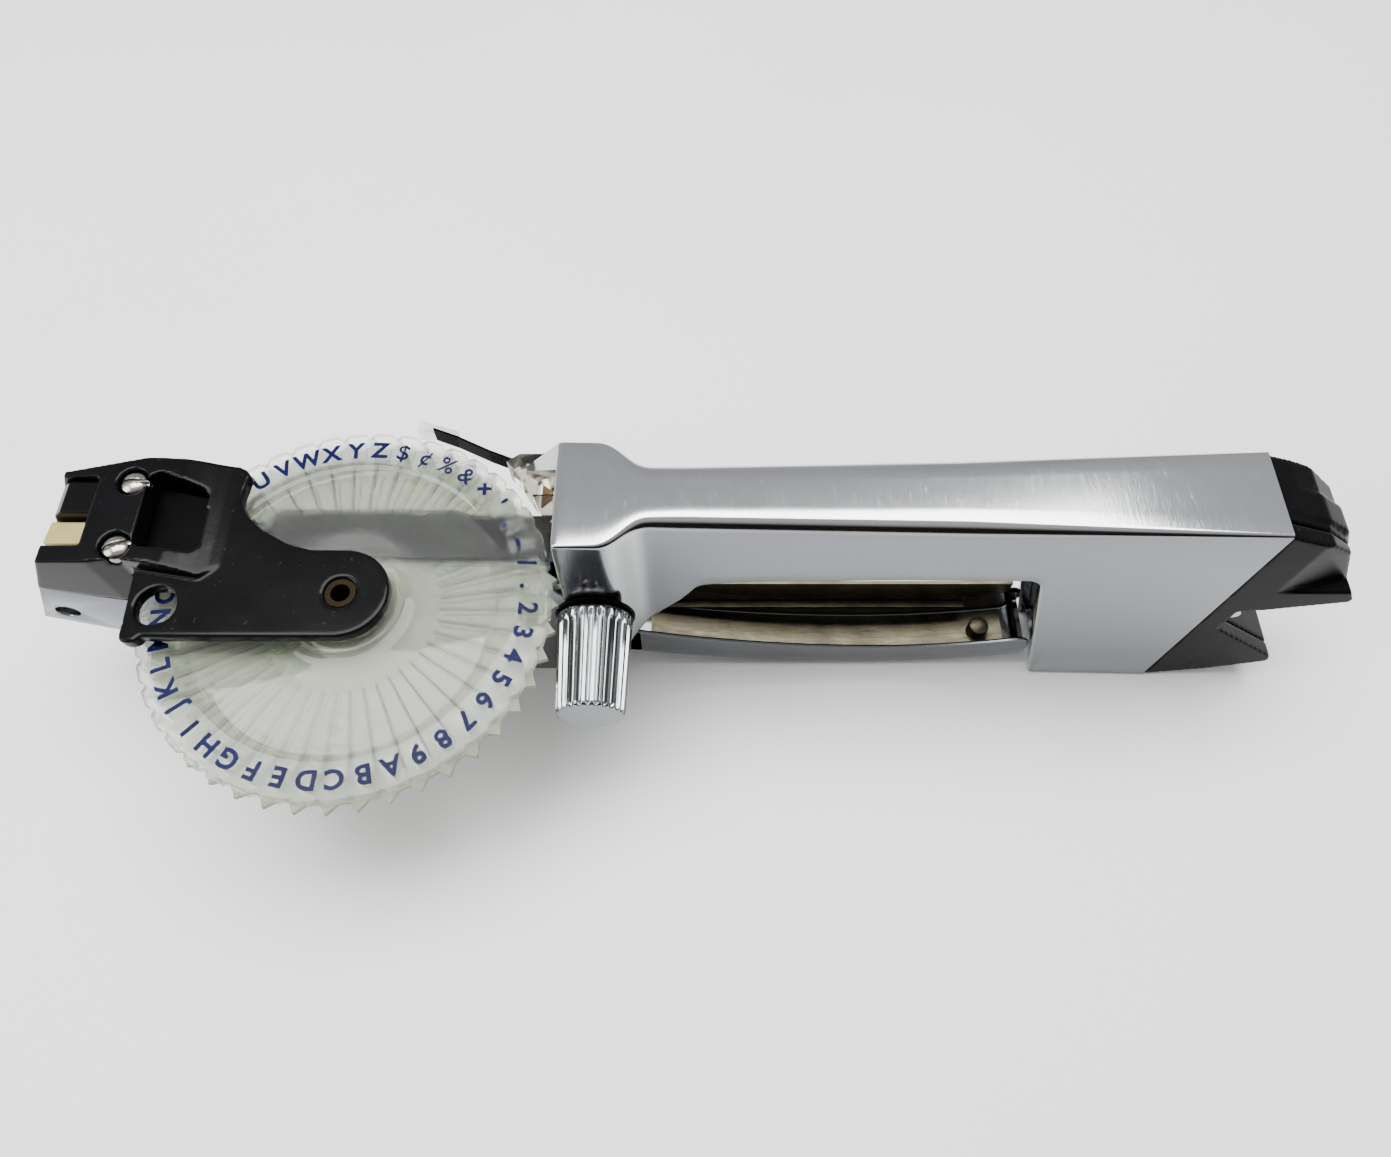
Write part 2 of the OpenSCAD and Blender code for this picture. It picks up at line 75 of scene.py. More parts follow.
def round_path(points, radii, closed=True, arc=6, step=None):
    """Points of a polyline with its corners turned into arcs, and long runs divided by step."""
    count = len(points)
    if not isinstance(radii, (list, tuple)):
        radii = [radii] * count
    out = []
    for i, p in enumerate(points):
        p = Vector(p)
        r = radii[i]
        if (not closed and i in (0, count - 1)) or r <= 0:
            out.append(p)
            continue
        a = Vector(points[i - 1]) - p
        b = Vector(points[(i + 1) % count]) - p
        la, lb = a.length, b.length
        a.normalize()
        b.normalize()
        angle = a.angle(b)
        if angle > math.pi - 0.01:
            out.append(p)
            continue
        cut = min(r / math.tan(angle / 2), la * 0.49, lb * 0.49)
        r = cut * math.tan(angle / 2)
        centre = p + (a + b).normalized() * (r / math.sin(angle / 2))
        start = p + a * cut - centre
        end = p + b * cut - centre
        turn = start.angle(end)
        for k in range(arc + 1):
            t = k / arc
            v = (start * math.sin((1 - t) * turn) + end * math.sin(t * turn)) / math.sin(turn)
            out.append(centre + v)
    if step:
        full = [out[0]]
        for q in out[1:]:
            parts = max(1, int(math.ceil((q - full[-1]).length / step)))
            start = full[-1].copy()
            for k in range(1, parts + 1):
                full.append(start.lerp(q, k / parts))
        out = full
    return [(v[0], v[1]) for v in out]


def mirrored_row(half, steps):
    """Half a section, from its lower edge up, made whole with steps across the middle."""
    edge = half[-1]
    row = [(p[0], -p[1], p[2]) for p in half]
    row += [(edge[0], edge[1] * (2 * k / steps - 1), edge[2]) for k in range(1, steps)]
    return row + list(reversed(half))


def raw_mesh(name, verts, faces):
    mesh = bpy.data.meshes.new(name)
    mesh.from_pydata([place(v) for v in verts], [], faces)
    bm = bmesh.new()
    bm.from_mesh(mesh)
    bmesh.ops.remove_doubles(bm, verts=bm.verts, dist=1e-6)
    bmesh.ops.recalc_face_normals(bm, faces=bm.faces)
    bm.to_mesh(mesh)
    bm.free()
    return mesh


def add_object(name, data):
    obj = bpy.data.objects.new(name, data)
    bpy.context.scene.collection.objects.link(obj)
    return obj


def prism(name, outline, low, high, axis="z"):
    """Closed prism of a plan outline between two heights, or of an XZ outline between two y."""
    n = len(outline)
    if axis == "z":
        verts = [(p[0], p[1], low) for p in outline] + [(p[0], p[1], high) for p in outline]
    else:
        verts = [(p[0], low, p[1]) for p in outline] + [(p[0], high, p[1]) for p in outline]
    faces = [list(range(n)), list(range(n, 2 * n))]
    faces += [[i, (i + 1) % n, n + (i + 1) % n, n + i] for i in range(n)]
    return add_object(name, raw_mesh(name, verts, faces))


def tube(name, centre, radius, low, high, axis="z", sides=48):
    """Round bar along Z or Y through centre, given as (x, y) or (x, z)."""
    ring = []
    for level in (low, high):
        for k in range(sides):
            u, v = polar(radius, 360 * k / sides, centre)
            ring.append((u, v, level) if axis == "z" else (u, level, v))
    faces = [list(range(sides)), list(range(sides, 2 * sides))]
    faces += [[i, (i + 1) % sides, sides + (i + 1) % sides, sides + i] for i in range(sides)]
    return add_object(name, raw_mesh(name, ring, faces))


def box_solid(name, low, high):
    outline = [(low[0], low[1]), (high[0], low[1]), (high[0], high[1]), (low[0], high[1])]
    return prism(name, outline, low[2], high[2])


def lathe(name, profile, centre, axis="z", sides=64):
    """Turned form with flat ends: profile is (radius, level) pairs, centre is in plan or in XZ."""
    verts = []
    for r, level in profile:
        for k in range(sides):
            u, v = polar(r, 360 * k / sides, centre)
            verts.append((u, v, level) if axis == "z" else (u, level, v))
    faces = []
    for j in range(len(profile) - 1):
        for k in range(sides):
            m = (k + 1) % sides
            faces.append([j * sides + k, j * sides + m, (j + 1) * sides + m, (j + 1) * sides + k])
    faces.append(list(range(sides)))
    faces.append(list(range((len(profile) - 1) * sides, len(profile) * sides)))
    return add_object(name, raw_mesh(name, verts, faces))


def grid_mesh(name, rows, close_ends=False):
    """Quads through rows of equally many points."""
    cols = len(rows[0])
    verts = [p for row in rows for p in row]
    faces = []
    for j in range(len(rows) - 1):
        for k in range(cols - 1):
            here, above = j * cols + k, (j + 1) * cols + k
            faces.append([here, here + 1, above + 1, above])
    if close_ends:
        faces.append(list(range(cols)))
        faces.append(list(range((len(rows) - 1) * cols, len(rows) * cols)))
    return add_object(name, raw_mesh(name, verts, faces))


def bake(obj):
    """Applies an object's modifiers to its mesh."""
    bpy.context.view_layer.update()
    deps = bpy.context.evaluated_depsgraph_get()
    mesh = bpy.data.meshes.new_from_object(obj.evaluated_get(deps))
    old = obj.data
    obj.modifiers.clear()
    obj.data = mesh
    mesh.name = old.name
    bpy.data.meshes.remove(old)
    return obj


def combine(base, others, operation):
    """Boolean steps, worked at a thousand times the size because the solver is coarse below it."""
    grow = Matrix.Scale(1.0 / MM, 4)
    base.data.transform(grow)
    for other in others:
        other.data.transform(grow)
        mod = base.modifiers.new("cut", "BOOLEAN")
        mod.operation = operation
        mod.solver = "EXACT"
        mod.object = other
        bake(base)
        mesh = other.data
        bpy.data.objects.remove(other)
        bpy.data.meshes.remove(mesh)
    base.data.transform(Matrix.Scale(MM, 4))
    return base


def union(base, *others):
    return combine(base, others, "UNION")


def cut(base, *others):
    return combine(base, others, "DIFFERENCE")


def common(base, *others):
    return combine(base, others, "INTERSECT")


def join(base, *others):
    """Adds other objects' meshes to base without merging them."""
    bm = bmesh.new()
    bm.from_mesh(base.data)
    for other in others:
        bm.from_mesh(other.data)
    bm.to_mesh(base.data)
    bm.free()
    for other in others:
        mesh = other.data
        bpy.data.objects.remove(other)
        bpy.data.meshes.remove(mesh)
    return base


def soften(obj, voxel, passes):
    """Rounds every edge of a closed form, as a casting or moulding has."""
    mod = obj.modifiers.new("remesh", "REMESH")
    mod.mode = "VOXEL"
    mod.voxel_size = voxel * MM
    mod.adaptivity = 0.0
    smooth = obj.modifiers.new("smooth", "SMOOTH")
    smooth.factor = 0.5
    smooth.iterations = passes
    return bake(obj)


def thicken(obj, thickness, offset):
    """Gives an open sheet its thickness; offset (-1 to 1) says to which side of its faces."""
    mod = obj.modifiers.new("thickness", "SOLIDIFY")
    mod.thickness = thickness * MM
    mod.offset = offset
    return bake(obj)


def bevel(obj, width, segments=3, angle=30):
    mod = obj.modifiers.new("bevel", "BEVEL")
    mod.width = width * MM
    mod.segments = segments
    mod.limit_method = "ANGLE"
    mod.angle_limit = math.radians(angle)
    mod.harden_normals = True
    return obj


def shade(obj, angle=35):
    mesh = obj.data
    mesh.polygons.foreach_set("use_smooth", [True] * len(mesh.polygons))
    mesh.set_sharp_from_angle(angle=math.radians(angle))
    return obj


def finish_piece(obj, name, material, body, nodes=(), angle=35):
    """Names, shades and dresses a piece, and sets the body that it rides on."""
    obj.name = name
    obj.data.name = name
    shade(obj, angle)
    obj.data.materials.clear()
    obj.data.materials.append(material)
    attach(obj, body)
    if nodes:
        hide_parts(*nodes)
    return obj


# ---------------------------------------------------------------- materials
class Nodes:
    """Short names for building a material's node tree."""

    def __init__(self, name):
        self.material = bpy.data.materials.new(name)
        self.material.use_nodes = True
        self.tree = self.material.node_tree
        self.tree.nodes.clear()
        out = self.tree.nodes.new("ShaderNodeOutputMaterial")
        self.bsdf = self.tree.nodes.new("ShaderNodeBsdfPrincipled")
        self.tree.links.new(self.bsdf.outputs[0], out.inputs[0])
        spot = self.tree.nodes.new("ShaderNodeTexCoord")
        self.coords = spot.outputs["Object"]
        self.normals = spot.outputs["Normal"]

    def link(self, source, target):
        self.tree.links.new(source, target)

    def node(self, kind, **values):
        node = self.tree.nodes.new(kind)
        for key, value in values.items():
            node.inputs[key].default_value = value
        return node

    def stretch(self, scale):
        mapping = self.node("ShaderNodeMapping", Scale=scale)
        self.link(self.coords, mapping.inputs["Vector"])
        return mapping.outputs[0]

    def noise(self, scale, detail=4.0, rough=0.55, vector=None, distortion=0.0):
        node = self.node("ShaderNodeTexNoise", Scale=scale, Detail=detail, Roughness=rough,
                         Distortion=distortion)
        self.link(vector or self.coords, node.inputs["Vector"])
        return node.outputs["Fac"]

    def spots(self, scale):
        node = self.node("ShaderNodeTexVoronoi", Scale=scale)
        self.link(self.coords, node.inputs["Vector"])
        return node.outputs["Distance"]

    def remap(self, source, low, high, to_low, to_high):
        node = self.tree.nodes.new("ShaderNodeMapRange")
        for index, value in enumerate((low, high, to_low, to_high)):
            node.inputs[index + 1].default_value = value
        self.link(source, node.inputs[0])
        return node.outputs[0]

    def mix(self, factor, a, b):
        node = self.tree.nodes.new("ShaderNodeMix")
        node.data_type = "RGBA"
        self.link(factor, node.inputs[0])
        for socket, value in ((node.inputs[6], a), (node.inputs[7], b)):
            if isinstance(value, (tuple, list)):
                socket.default_value = (*value, 1.0)
            else:
                self.link(value, socket)
        return node.outputs[2]

    def math(self, operation, a, b):
        node = self.tree.nodes.new("ShaderNodeMath")
        node.operation = operation
        for index, value in enumerate((a, b)):
            if isinstance(value, (int, float)):
                node.inputs[index].default_value = value
            else:
                self.link(value, node.inputs[index])
        return node.outputs[0]

    def bump(self, height, strength, distance, below=None):
        node = self.node("ShaderNodeBump", Strength=strength, Distance=distance)
        self.link(height, node.inputs["Height"])
        if below is not None:
            self.link(below, node.inputs["Normal"])
        return node.outputs[0]

    def set(self, **values):
        for key, value in values.items():
            self.bsdf.inputs[key.replace("_", " ")].default_value = value

    def feed(self, **sources):
        for key, source in sources.items():
            self.link(source, self.bsdf.inputs[key.replace("_", " ")])


def worn_chrome(name, tint, rough_low, rough_high, scratch=0.05, smear=(260, 30, 60), side=None):
    """Plated metal: smears, fine hairline scratches and a few dull specks.

    A side colour, if given, takes over on faces turned towards plus or minus Y: painted shade that
    darkens the flanks.
    """
    n = Nodes(name)
    n.set(Metallic=1.0)
    smears = n.noise(14.0, 5.0, 0.6)
    hair = n.noise(9.0, 3.0, 0.7, n.stretch(smear))
    specks = n.remap(n.spots(420.0), 0.0, 0.09, 1.0, 0.0)
    dull = tuple(c * 0.68 for c in tint)
    colour = n.mix(n.remap(smears, 0.4, 0.75, 0.0, 1.0), tint, dull)
    base = n.remap(smears, 0.35, 0.7, rough_low, rough_high)
    # Painted shade: faces turned towards plus or minus Y take the darker side colour.
    if side:
        facing = n.node("ShaderNodeSeparateXYZ")
        n.link(n.normals, facing.inputs[0])
        across = n.remap(n.math("ABSOLUTE", facing.outputs[1], 0.0), 0.86, 0.985, 0.0, 1.0)
        colour = n.mix(across, colour, side)
        base = n.math("ADD", base, n.math("MULTIPLY", across, 0.10))
    pitted = tuple(c * 0.45 for c in tint)
    n.feed(Base_Color=n.mix(n.math("MULTIPLY", specks, 0.5), colour, pitted))
    lines = n.remap(hair, 0.55, 0.75, 0.0, 1.0)
    n.feed(Roughness=n.math("ADD", base, n.math("MULTIPLY", lines, 0.06)))
    wave = n.bump(n.noise(38.0, 2.0), 0.06, 0.0006)
    n.feed(Normal=n.bump(hair, scratch, 0.0002, wave))
    return n.material


def brushed(name, tint, dark, rough, scale=(40, 900, 40)):
    """Plain steel or brass with a drawn grain and tarnish."""
    n = Nodes(name)
    n.set(Metallic=1.0)
    grain = n.noise(8.0, 5.0, 0.65, n.stretch(scale))
    tarnish = n.noise(70.0, 6.0, 0.65, distortion=0.6)
    n.feed(Base_Color=n.mix(n.remap(tarnish, 0.38, 0.72, 0.0, 1.0), tint, dark))
    n.feed(Roughness=n.remap(grain, 0.3, 0.7, rough * 0.75, rough * 1.3))
    n.feed(Normal=n.bump(grain, 0.12, 0.0003))
    return n.material


def moulding(name, light, dark, rough, grain=0.1, grain_scale=900.0, ior=1.45, wear=None):
    """Opaque plastic or enamel: mottled colour, fine surface grain, rubbed patches and dust."""
    n = Nodes(name)
    n.set(IOR=ior)
    cloud = n.noise(55.0, 5.0, 0.6)
    colour = n.mix(n.remap(cloud, 0.35, 0.7, 0.0, 1.0), dark, light)
    if wear:
        dust = n.remap(n.noise(650.0, 3.0, 0.7), 0.66, 0.74, 0.0, 0.35)
        colour = n.mix(dust, colour, wear)
    n.feed(Base_Color=colour)
    rub = n.noise(32.0, 4.0, 0.6, distortion=0.8)
    n.feed(Roughness=n.remap(rub, 0.35, 0.7, rough * 0.8, rough * 1.25))
    soft = n.bump(n.noise(60.0, 2.0), 0.08, 0.0008)
    n.feed(Normal=n.bump(n.noise(grain_scale, 2.0), grain, 0.0002, soft))
    return n.material


def clear(name, tint, rough, alpha, body_colour, ior=1.46):
    """Clear moulded plastic: part transparent, part faint body colour, with flow marks."""
    n = Nodes(name)
    n.set(IOR=ior, Transmission_Weight=1.0)
    flow = n.noise(130.0, 4.0, 0.6, distortion=1.2)
    n.feed(Base_Color=n.mix(n.remap(flow, 0.35, 0.7, 0.0, 1.0), tint, body_colour))
    n.feed(Roughness=n.remap(flow, 0.35, 0.7, rough, rough * 2.5))
    n.set(Alpha=alpha)
    n.feed(Normal=n.bump(n.noise(240.0, 3.0), 0.04, 0.0002))
    return n.material


def milky(name, tint, dark):
    """Thin translucent moulding, seen as a pale green-white sheet with faint flow marks."""
    n = Nodes(name)
    n.set(IOR=1.25, Transmission_Weight=0.35)
    flow = n.noise(90.0, 4.0, 0.6, distortion=1.2)
    n.feed(Base_Color=n.mix(n.remap(flow, 0.35, 0.7, 0.0, 1.0), tint, dark))
    n.feed(Roughness=n.remap(flow, 0.35, 0.7, 0.16, 0.30))
    n.feed(Normal=n.bump(n.noise(240.0, 3.0), 0.08, 0.0003))
    return n.material


# The housing's chrome gets a dark side colour on its flanks: painted shade.
CHROME = worn_chrome("chrome_housing", (0.52, 0.53, 0.54), 0.08, 0.15, side=(0.20, 0.21, 0.225))
# Painted shade: the chassis is the same chrome as the housing, tinted dark for the shade and dark
# reflections it shows under the wheel.
CHROME_SHADED = worn_chrome("chrome_chassis", (0.22, 0.23, 0.25), 0.16, 0.26)
CHROME_KNOB = worn_chrome("chrome_knob", (0.28, 0.29, 0.295), 0.08, 0.16, 0.03, (60, 500, 60))
KNOB_END = worn_chrome("chrome_knob_end", (0.26, 0.285, 0.30), 0.34, 0.42, 0.08, (90, 60, 90))
CHROME_TRIGGER = worn_chrome("chrome_trigger", (0.115, 0.12, 0.125), 0.10, 0.18)
# Painted shade: a dark brown nickel for the trigger's lining and stud, darkened for the shade
# inside the channel; its tarnish mottling is its own.
SHADED_NICKEL = brushed("nickel_painted_shade", (0.120, 0.109, 0.077), (0.055, 0.047, 0.030), 0.36, (30, 160, 160))
STEEL = brushed("bright_steel", (0.62, 0.62, 0.60), (0.34, 0.32, 0.29), 0.24)
SCREW = brushed("screw_steel", (0.36, 0.345, 0.32), (0.16, 0.14, 0.12), 0.20, (120, 120, 60))
BAND = brushed("guide_steel", (0.026, 0.027, 0.026), (0.018, 0.018, 0.017), 0.42, (900, 40, 40))
BRASS = brushed("old_brass", (0.62, 0.46, 0.22), (0.30, 0.20, 0.09), 0.34)
DULL_BRASS = brushed("dull_brass", (0.020, 0.015, 0.008), (0.009, 0.007, 0.004), 0.55)
ANVIL = moulding("black_anvil", (0.0012, 0.0013, 0.0015), (0.0006, 0.0007, 0.0008), 0.34,
                 0.05, 1200.0, 1.12)
TEETH = milky("milky_disc", (0.36, 0.39, 0.30), (0.30, 0.33, 0.25))
# Painted shade: a dark grey for thin strips set into the lower disc's slots, standing in for the
# shade in them.
SLOT_PAINTED_SHADE = moulding("slot_painted_shade", (0.060, 0.060, 0.055), (0.032, 0.032, 0.030), 0.5,
                     0.2, 900.0, 1.30)
ENAMEL = moulding("black_enamel", (0.0036, 0.0037, 0.0040), (0.0015, 0.0016, 0.0018), 0.15,
                  0.03, 1200.0, 1.20, (0.05, 0.05, 0.05))
SATIN = moulding("black_plastic", (0.0026, 0.0027, 0.0030), (0.0012, 0.0013, 0.0015), 0.26,
                 0.12, 1700.0, 1.10, (0.06, 0.06, 0.06))
CREAM = moulding("cream_nylon", (0.37, 0.30, 0.115), (0.28, 0.22, 0.080), 0.40, 0.08, 600.0)
PALE = moulding("pale_disc", (0.60, 0.62, 0.52), (0.52, 0.54, 0.45), 0.36, 0.08, 500.0)
INK = moulding("blue_ink", (0.0012, 0.0024, 0.048), (0.0008, 0.0014, 0.026), 0.38,
               0.2, 900.0, 1.2)
RUBBER = moulding("black_rubber", (0.012, 0.012, 0.012), (0.007, 0.007, 0.007), 0.62, 0.2, 800.0)
TAPE = moulding("label_tape", (0.016, 0.022, 0.070), (0.010, 0.014, 0.045), 0.25, 0.04, 900.0)
CLEAR = clear("clear_disc", (0.97, 0.98, 0.96), 0.008, 0.50, (0.90, 0.92, 0.87), 1.45)
SMOKY = clear("smoky_nozzle", (0.50, 0.46, 0.40), 0.06, 1.0, (0.34, 0.29, 0.22))


# ---------------------------------------------------------------- camera, floor and light
CAMERA_SPOT = (68.7, -102.4, 228.2)
CAMERA_TILT = 27.6
LENS = 25.88
FLOOR_HALF = 4000.0
FLOOR_Z = -0.05                   # a hair below the feet, so that nothing shares its plane
SKY_STOPS = [(0.0, (0.03, 0.022, 0.018)), (0.25, (0.020, 0.014, 0.011)),
             (0.33, (0.12, 0.105, 0.095)), (0.40, (0.46, 0.465, 0.48)),
             (0.52, (0.74, 0.75, 0.77)), (0.80, (0.86, 0.87, 0.89)), (1.0, (0.60, 0.61, 0.63))]
SKY_BASE, SKY_UP, SKY_BACK, SKY_CLOUD = 0.40, 0.32, 0.44, 0.10


def set_up_stage():
    camera = bpy.data.cameras.new("camera")
    camera.sensor_width = 36.0
    camera.sensor_fit = "HORIZONTAL"
    camera.lens = LENS
    camera.clip_start = 0.005
    camera.clip_end = 20.0
    eye = add_object("camera", camera)
    eye.location = place(CAMERA_SPOT)
    eye.rotation_euler = (math.radians(CAMERA_TILT), 0.0, 0.0)
    bpy.context.scene.camera = eye

    n = Nodes("pale_floor")
    n.set(IOR=1.4)
    cloud = n.noise(5.0, 4.0, 0.6)
    n.feed(Base_Color=n.mix(cloud, (0.76, 0.76, 0.765), (0.84, 0.84, 0.835)))
    n.feed(Roughness=n.remap(cloud, 0.3, 0.7, 0.42, 0.6))
    n.feed(Normal=n.bump(n.noise(900.0, 2.0), 0.03, 0.0002))
    corners = [[(x * FLOOR_HALF, y * FLOOR_HALF, FLOOR_Z) for x in (-1, 1)] for y in (-1, 1)]
    floor = grid_mesh("floor", corners)
    floor.data.materials.append(n.material)

    def area(name, spot, target, size, power, colour=(1, 1, 1)):
        light = bpy.data.lights.new(name, "AREA")
        light.shape = "RECTANGLE"
        light.size, light.size_y = size
        light.energy = power
        light.color = colour
        lamp = add_object(name, light)
        lamp.location = Vector(spot)
        lamp.rotation_euler = (Vector(target) - Vector(spot)).to_track_quat("-Z", "Y").to_euler()

    area("key", (-0.10, 0.16, 0.95), (-0.06, -0.02, 0.0), (1.1, 0.5), 23.0)
    area("side", (-0.95, -0.25, 0.55), (-0.06, 0.0, 0.03), (0.5, 0.7), 8.0, (1.0, 0.98, 0.95))

    world = bpy.data.worlds.new("studio")
    world.use_nodes = True
    bpy.context.scene.world = world
    tree = world.node_tree
    tree.nodes.clear()
    out = tree.nodes.new("ShaderNodeOutputWorld")
    back = tree.nodes.new("ShaderNodeBackground")
    coords = tree.nodes.new("ShaderNodeTexCoord")
    split = tree.nodes.new("ShaderNodeSeparateXYZ")
    ramp = tree.nodes.new("ShaderNodeValToRGB")
    while len(ramp.color_ramp.elements) < len(SKY_STOPS):
        ramp.color_ramp.elements.new(0.5)
    for element, (position, colour) in zip(ramp.color_ramp.elements, SKY_STOPS):
        element.position = position
        element.color = (*colour, 1.0)
    links = tree.links
    links.new(coords.outputs["Generated"], split.inputs[0])

    def weigh(source, factor, addend):
        step = tree.nodes.new("ShaderNodeMath")
        step.operation = "MULTIPLY_ADD"
        links.new(source, step.inputs[0])
        step.inputs[1].default_value = factor
        if isinstance(addend, float):
            step.inputs[2].default_value = addend
        else:
            links.new(addend, step.inputs[2])
        return step.outputs[0]

    cloud = tree.nodes.new("ShaderNodeTexNoise")
    cloud.inputs["Scale"].default_value = 2.2
    cloud.inputs["Detail"].default_value = 2.0
    links.new(coords.outputs["Generated"], cloud.inputs["Vector"])
    # Bright overhead and beyond the tool, dark in a cone towards the viewer's side (-Y).
    height = weigh(split.outputs["Z"], SKY_UP, SKY_BASE)
    depth = weigh(split.outputs["Y"], SKY_BACK, height)
    links.new(weigh(cloud.outputs["Fac"], SKY_CLOUD, depth), ramp.inputs[0])
    links.new(ramp.outputs[0], back.inputs["Color"])
    links.new(back.outputs[0], out.inputs[0])
    back.inputs["Strength"].default_value = 1.0


# ---------------------------------------------------------------- housing
TOP_Z = 67.5                      # handle's top
BLOCK_X = 41.7                    # front face of the housing's block
BLOCK_HALF, HANDLE_HALF = 12.0, 7.15
FILLETS = [(44, 0.7), (50, 1.0), (57, 2.6), (66, 3.1), (120, 3.1), (176, 0.9), (181, 0.7)]
SKIN = 0.75                       # sheet thickness
TOP_STEPS = 5                     # faces across a flat, in the skin and in the trigger


def half_width(x):
    """Housing's half width: the block, its shoulder, then the handle widening to the rear."""
    shoulder = ease((x - 49.3) / 11.4)
    return BLOCK_HALF + (HANDLE_HALF - BLOCK_HALF) * shoulder + max(0.0, x - 60.0) * 0.0218


def fillet(x):
    """Radius of the housing's upper edges."""
    return lerp_table(FILLETS, x)


def panel_x(z):
    """Front face of the magazine bay, which leans forward as it rises."""
    return 150.1 - 0.234 * z


def build_housing():
    # Lower edge of the skin in XZ, from the front block over the finger gap to the heel.
    outline = round_path(
        [(BLOCK_X, 8), (51, 10), (54.7, 21.4), (65.6, 35.8), (69.4, 42.7), (79, 44.7), (110, 46.6),
         (138.9, 47.4), (150.1, 0), (178, 0)],
        [0, 4, 8, 26, 4, 30, 200, 3.2, 0.8, 0], closed=False, arc=8, step=1.5)
    arc_steps = 8

    def section(x, z, normal, inset=0.0, drop=0.0):
        """One row across the skin, from the lower edge of one side over the top to the other."""
        lean = max(0.0, x - 150.0) / 28.0 * (2.0 / TOP_Z)
        half = []
        top = TOP_Z - drop
        lip = [(1.9, 0.0), (0.8, 0.0), (0.23, 0.23), (0.0, 0.8)]
        for pull, lift in lip:
            px, pz = x + normal[0] * lift, z + normal[1] * lift
            half.append((px, half_width(px) - inset - pull, pz))
        base = half[-1]
        r = fillet(x)
        side_top = top - r
        for k in range(1, 6):
            t = k / 5
            pz = base[2] + (side_top - base[2]) * t
            px = base[0] + (x + lean * side_top - base[0]) * t
            half.append((px, half_width(px) - inset, pz))
        for k in range(1, arc_steps + 1):
            a = math.pi / 2 * k / arc_steps
            pz = side_top + r * math.sin(a)
            px = x + lean * pz
            half.append((px, half_width(px) - inset - r * (1 - math.cos(a)), pz))
        return mirrored_row(half, TOP_STEPS)

    opening = 7.2
    sill = 57.0
    edge_r = 0.8
    rim = []
    for p in section(BLOCK_X, 8.0, (0.0, 1.0), edge_r, edge_r):
        y = p[1] if p[2] > TOP_Z - 1 else math.copysign(opening, p[1])
        rim.append((BLOCK_X, max(-opening, min(opening, y)), min(p[2], sill)))
    rows = [rim]
    for k in range(5):
        a = math.pi / 2 * k / 5
        pull = edge_r * (1 - math.sin(a))
        row = section(BLOCK_X, 8.0, (0.0, 1.0), pull, pull)
        rows.append([(BLOCK_X + edge_r * (1 - math.cos(a)), p[1], p[2]) for p in row])
    for i, (x, z) in enumerate(outline):
        if x < BLOCK_X + edge_r:
            continue
        before = Vector(outline[max(0, i - 1)])
        after = Vector(outline[min(len(outline) - 1, i + 1)])
        along = (after - before).normalized()
        rows.append(section(x, z, (-along[1], along[0])))
    shell = grid_mesh("body_housing_skin", rows)
    thicken(shell, SKIN, -1.0)
    cut(shell, tube("slot", HUB, WHEEL_ROOM_R, 45.6, 53.2, sides=180))
    front = prism("bay_front", [(panel_x(0) + 3, 0.5), (panel_x(0) + 4.2, 0.5),
                                (panel_x(46) + 4.2, 46), (panel_x(46) + 3, 46)], -7.9, 7.9, "y")
    heel = prism("heel_floor", [(152, -8.2), (176.8, -8.8), (176.8, 8.8), (152, 8.2)], 0.15, 1.1)
    gusset_plan = prism("gusset_plan", [(42, 11.6), (42, 5.4), (33.6, 11.4), (33.4, 12)], 50, 70)
    gusset = prism("gusset", [(BLOCK_X + 0.3, 67.2), (34.2, 58.4), (33.4, 57.2),
                              (BLOCK_X + 0.3, 57.2)], -14, 14, "y")
    common(gusset, gusset_plan)
    join(shell, front, heel, gusset)
    finish_piece(shell, "body_housing_skin", CHROME, "frame", ["body_housing"], 42)


# ---------------------------------------------------------------- head
ARM_LOW, ARM_TOP = 53.2, 56.0
SCREW_SEAT_Z = 57.2


